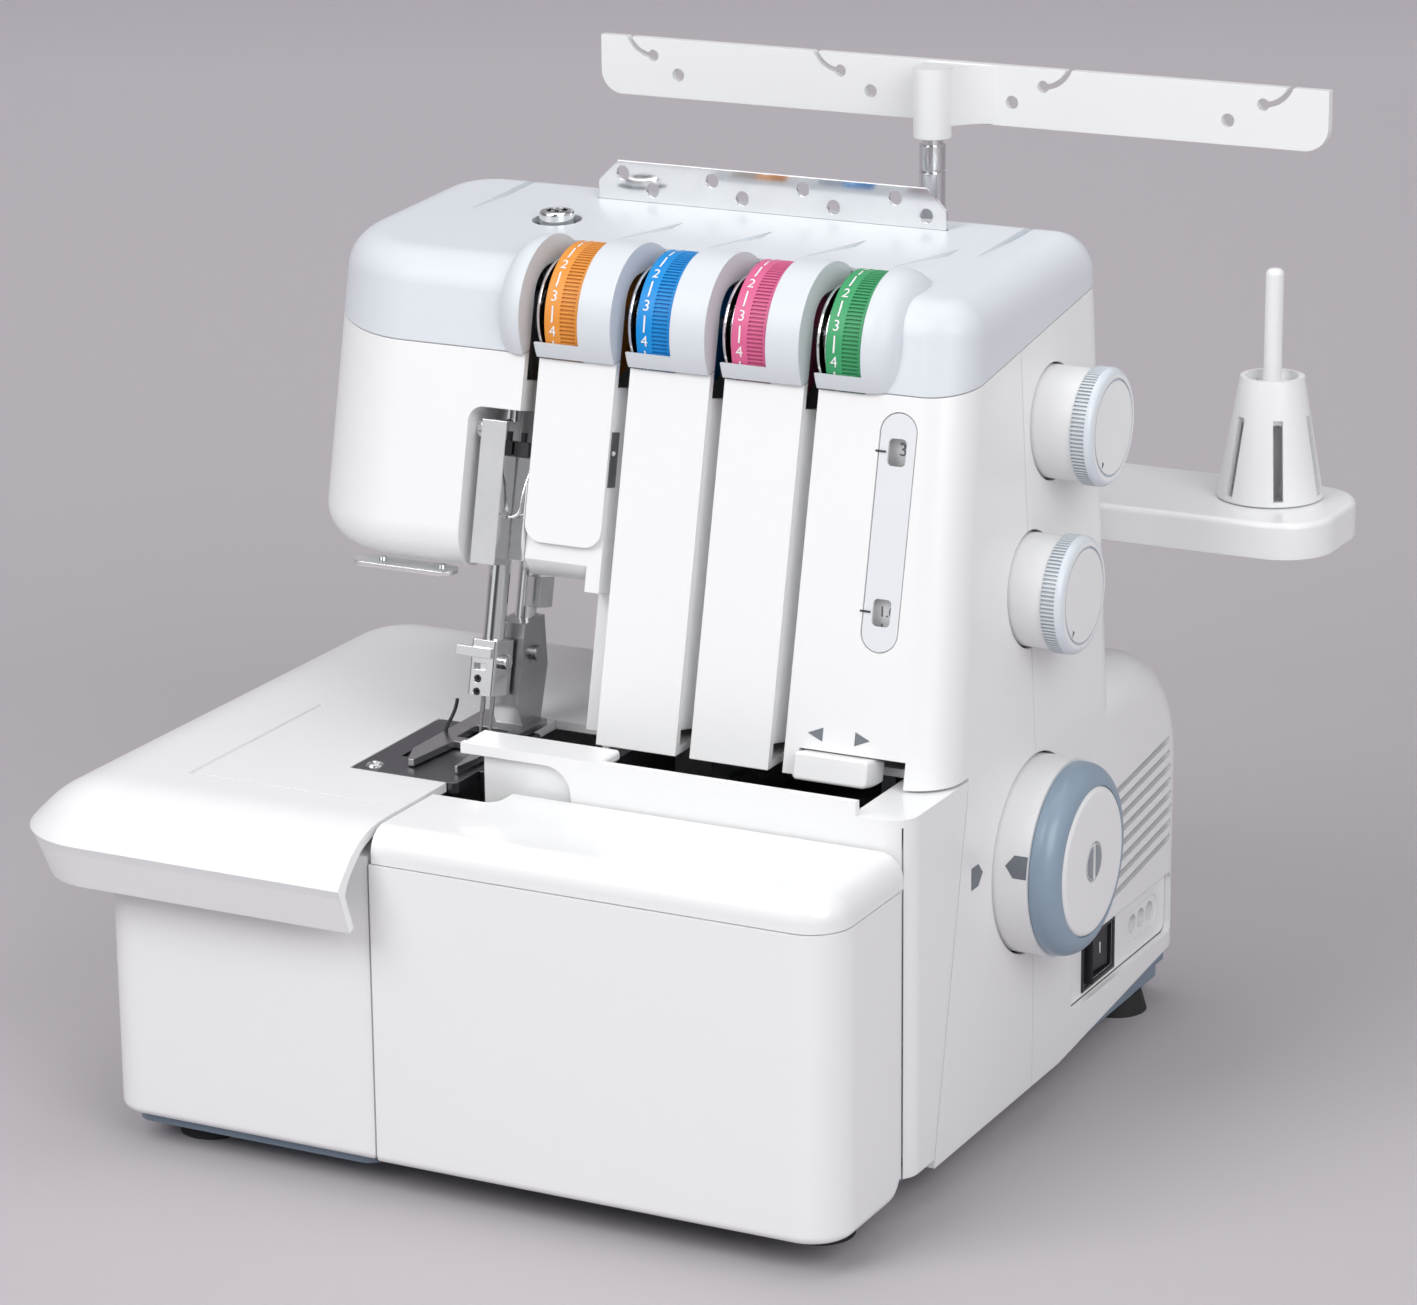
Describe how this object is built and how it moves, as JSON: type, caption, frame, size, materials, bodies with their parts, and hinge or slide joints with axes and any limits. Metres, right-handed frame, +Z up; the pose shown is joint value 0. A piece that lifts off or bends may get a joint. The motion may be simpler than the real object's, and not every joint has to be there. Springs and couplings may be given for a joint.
{
  "type": "serger overlock machine",
  "caption": "Compact overlock sewing machine with opening looper cover, sliding cloth plate, tension dials, side knobs, handwheel and rear spool stand with raised thread guide.",
  "frame": {"origin": "on the table under the middle of the bounding box", "axes": "+X to the handwheel side, +Y to the back, +Z up; the user sits at -Y"},
  "size_m": [0.352, 0.2948, 0.323],
  "materials": {
    "white_plastic": "glossy injection moulded",
    "grey_plastic": "satin injection moulded",
    "blue_grey_plastic": "fine grained",
    "black_plastic": "matt moulded",
    "rubber": "matt",
    "cast_metal": "as cast",
    "dark_steel": "ground",
    "steel": "ground",
    "polished_metal": "polished",
    "motor_paint": "stoved",
    "pale_strip": "satin",
    "dial_orange": "satin moulded",
    "dial_blue": "satin moulded",
    "dial_pink": "satin moulded",
    "dial_green": "satin moulded"
  },
  "bodies": {
    "machine": {"face_cover": "white_plastic", "front_cover": "white_plastic", "rear_cover": "white_plastic", "left_body_cover": "white_plastic", "rear_bed_cover": "white_plastic", "front_frame": "white_plastic", "spool_tray": "white_plastic", "spool_pins": "white_plastic", "terminal_panel": "white_plastic", "inlet_socket": "white_plastic", "top_cover": "grey_plastic", "base_pan": "blue_grey_plastic", "rubber_feet": "rubber", "drive_belt": "rubber", "machine_frame": "cast_metal", "needle_plate": "dark_steel", "lower_knife": "dark_steel", "hinge_pins": "steel", "lifter_pin": "steel", "looper_pivots": "steel", "thread_guide_plate": "polished_metal", "tension_discs": "polished_metal", "thread_guards": "polished_metal", "pole_lower_tube": "polished_metal", "motor_body": "motor_paint", "window_strip": "pale_strip"},
    "looper_cover": {"looper_cover_front": "white_plastic", "looper_cover_lid": "white_plastic"},
    "cloth_plate": {"cloth_plate": "white_plastic"},
    "handwheel": {"main_shaft": "steel", "handwheel_drum": "white_plastic", "handwheel_ring": "blue_grey_plastic"},
    "motor_pulley": {"motor_pulley": "black_plastic"},
    "needle_bar": {"needle_bar": "polished_metal", "needle_clamp": "polished_metal", "needles": "steel"},
    "upper_looper": {"upper_looper": "steel"},
    "lower_looper": {"lower_looper": "steel"},
    "upper_knife": {"upper_knife": "steel"},
    "feed_dogs": {"feed_dogs": "dark_steel"},
    "presser": {"presser_bar": "polished_metal", "presser_foot": "dark_steel"},
    "presser_lifter": {"presser_lifter": "black_plastic"},
    "tension_dial_1": {"tension_dial_1": "dial_orange"},
    "tension_dial_2": {"tension_dial_2": "dial_blue"},
    "tension_dial_3": {"tension_dial_3": "dial_pink"},
    "tension_dial_4": {"tension_dial_4": "dial_green"},
    "stitch_length_knob": {"stitch_length_knob": "white_plastic"},
    "stitch_length_sector": {"stitch_length_sector": "white_plastic"},
    "differential_knob": {"differential_knob": "white_plastic"},
    "differential_sector": {"differential_sector": "white_plastic"},
    "rolled_hem_slider": {"rolled_hem_slider": "white_plastic"},
    "power_rocker": {"power_rocker": "black_plastic"},
    "pressure_knob": {"pressure_knob": "polished_metal"},
    "pole": {"pole_upper_tube": "polished_metal"},
    "guide_bar": {"guide_bar": "white_plastic"},
    "spool_cone_1": {"spool_cone_1": "white_plastic"},
    "spool_cone_2": {"spool_cone_2": "white_plastic"},
    "spool_cone_3": {"spool_cone_3": "white_plastic"},
    "spool_cone_4": {"spool_cone_4": "white_plastic"}
  },
  "joints": [
    {"name": "looper_cover_hinge", "type": "hinge", "parent": "machine", "child": "looper_cover", "pos_m": [0.031, -0.123, 0.018], "axis": [1, 0, 0], "range_deg": [0, 85]},
    {"name": "cloth_plate_slide", "type": "slide", "parent": "machine", "child": "cloth_plate", "axis": [-1, 0, 0], "range_m": [0, 0.13]},
    {"name": "handwheel_turn", "type": "hinge", "parent": "machine", "child": "handwheel", "pos_m": [0.115, 0.0161, 0.0913], "axis": [1, 0, 0], "continuous": true},
    {"name": "motor_turn", "type": "hinge", "parent": "machine", "child": "motor_pulley", "pos_m": [0.085, 0.105, 0.066], "axis": [1, 0, 0], "continuous": true},
    {"name": "needle_bar_slide", "type": "slide", "parent": "machine", "child": "needle_bar", "axis": [0, 0.225, 0.9744], "range_m": [0, 0.024]},
    {"name": "upper_looper_swing", "type": "hinge", "parent": "machine", "child": "upper_looper", "pos_m": [-0.006, -0.0505, 0.062], "axis": [0, 1, 0], "range_deg": [-17, 0]},
    {"name": "lower_looper_swing", "type": "hinge", "parent": "machine", "child": "lower_looper", "pos_m": [-0.025, -0.0325, 0.04], "axis": [0, 1, 0], "range_deg": [-20, 0]},
    {"name": "upper_knife_slide", "type": "slide", "parent": "machine", "child": "upper_knife", "axis": [0, 0, 1], "range_m": [0, 0.01]},
    {"name": "feed_dog_lift", "type": "slide", "parent": "machine", "child": "feed_dogs", "axis": [0, 0, 1], "range_m": [0, 0.001]},
    {"name": "presser_lifter_swing", "type": "hinge", "parent": "machine", "child": "presser_lifter", "pos_m": [-0.0725, 0.06, 0.192], "axis": [1, 0, 0], "range_deg": [0, 35]},
    {"name": "presser_slide", "type": "slide", "parent": "machine", "child": "presser", "axis": [0, 0.225, 0.9744], "range_m": [0, 0.006]},
    {"name": "tension_dial_1_turn", "type": "hinge", "parent": "machine", "child": "tension_dial_1", "pos_m": [-0.03315, -0.0075, 0.2587], "axis": [1, 0, 0], "range_deg": [-108, 216]},
    {"name": "tension_dial_2_turn", "type": "hinge", "parent": "machine", "child": "tension_dial_2", "pos_m": [-0.00055, -0.0075, 0.2587], "axis": [1, 0, 0], "range_deg": [-108, 216]},
    {"name": "tension_dial_3_turn", "type": "hinge", "parent": "machine", "child": "tension_dial_3", "pos_m": [0.03255, -0.0075, 0.2587], "axis": [1, 0, 0], "range_deg": [-108, 216]},
    {"name": "tension_dial_4_turn", "type": "hinge", "parent": "machine", "child": "tension_dial_4", "pos_m": [0.06485, -0.0075, 0.2587], "axis": [1, 0, 0], "range_deg": [-108, 216]},
    {"name": "stitch_length_turn", "type": "hinge", "parent": "machine", "child": "stitch_length_knob", "pos_m": [0.11, 0.0403, 0.2269], "axis": [1, 0, 0], "range_deg": [-120, 120]},
    {"name": "stitch_length_sector_turn", "type": "hinge", "parent": "machine", "child": "stitch_length_sector", "pos_m": [0.0835, 0.0403, 0.2269], "axis": [1, 0, 0], "range_deg": [-8, 8]},
    {"name": "differential_turn", "type": "hinge", "parent": "machine", "child": "differential_knob", "pos_m": [0.11, 0.0184, 0.1778], "axis": [1, 0, 0], "range_deg": [-120, 120]},
    {"name": "differential_sector_turn", "type": "hinge", "parent": "machine", "child": "differential_sector", "pos_m": [0.0835, 0.0184, 0.1778], "axis": [1, 0, 0], "range_deg": [-8, 8]},
    {"name": "rolled_hem_slide", "type": "slide", "parent": "machine", "child": "rolled_hem_slider", "axis": [1, 0, 0], "range_m": [0, 0.009]},
    {"name": "power_rocker_tilt", "type": "hinge", "parent": "machine", "child": "power_rocker", "pos_m": [0.101, 0.077, 0.036], "axis": [0, 0, 1], "range_deg": [-10, 0]},
    {"name": "pressure_knob_turn", "type": "hinge", "parent": "machine", "child": "pressure_knob", "pos_m": [-0.0676, 0.0315, 0.27], "axis": [0, 0, 1], "range_deg": [-180, 180]},
    {"name": "pole_extend", "type": "slide", "parent": "machine", "child": "pole", "axis": [0, 0, 1], "range_m": [0, 0.07]},
    {"name": "guide_bar_swivel", "type": "hinge", "parent": "pole", "child": "guide_bar", "pos_m": [0.031, 0.11, 0.31], "axis": [0, 0, 1], "range_deg": [-90, 90]},
    {"name": "spool_cone_1_lift", "type": "slide", "parent": "machine", "child": "spool_cone_1", "axis": [0, 0, 1], "range_m": [0, 0.07]},
    {"name": "spool_cone_2_lift", "type": "slide", "parent": "machine", "child": "spool_cone_2", "axis": [0, 0, 1], "range_m": [0, 0.07]},
    {"name": "spool_cone_3_lift", "type": "slide", "parent": "machine", "child": "spool_cone_3", "axis": [0, 0, 1], "range_m": [0, 0.07]},
    {"name": "spool_cone_4_lift", "type": "slide", "parent": "machine", "child": "spool_cone_4", "axis": [0, 0, 1], "range_m": [0, 0.07]}
  ],
  "couplings": [
    {"joint": "motor_turn", "follows": "handwheel_turn", "ratio": 2.5556},
    {"joint": "upper_looper_swing", "follows": "needle_bar_slide", "rad_per_m": -12.29},
    {"joint": "lower_looper_swing", "follows": "needle_bar_slide", "rad_per_m": -14.472},
    {"joint": "upper_knife_slide", "follows": "needle_bar_slide", "ratio": 0.41},
    {"joint": "feed_dog_lift", "follows": "needle_bar_slide", "ratio": 0.041},
    {"joint": "presser_lifter_swing", "follows": "presser_slide", "rad_per_m": 101.8},
    {"joint": "stitch_length_sector_turn", "follows": "stitch_length_turn", "ratio": 0.066},
    {"joint": "differential_sector_turn", "follows": "differential_turn", "ratio": 0.066}
  ]
}
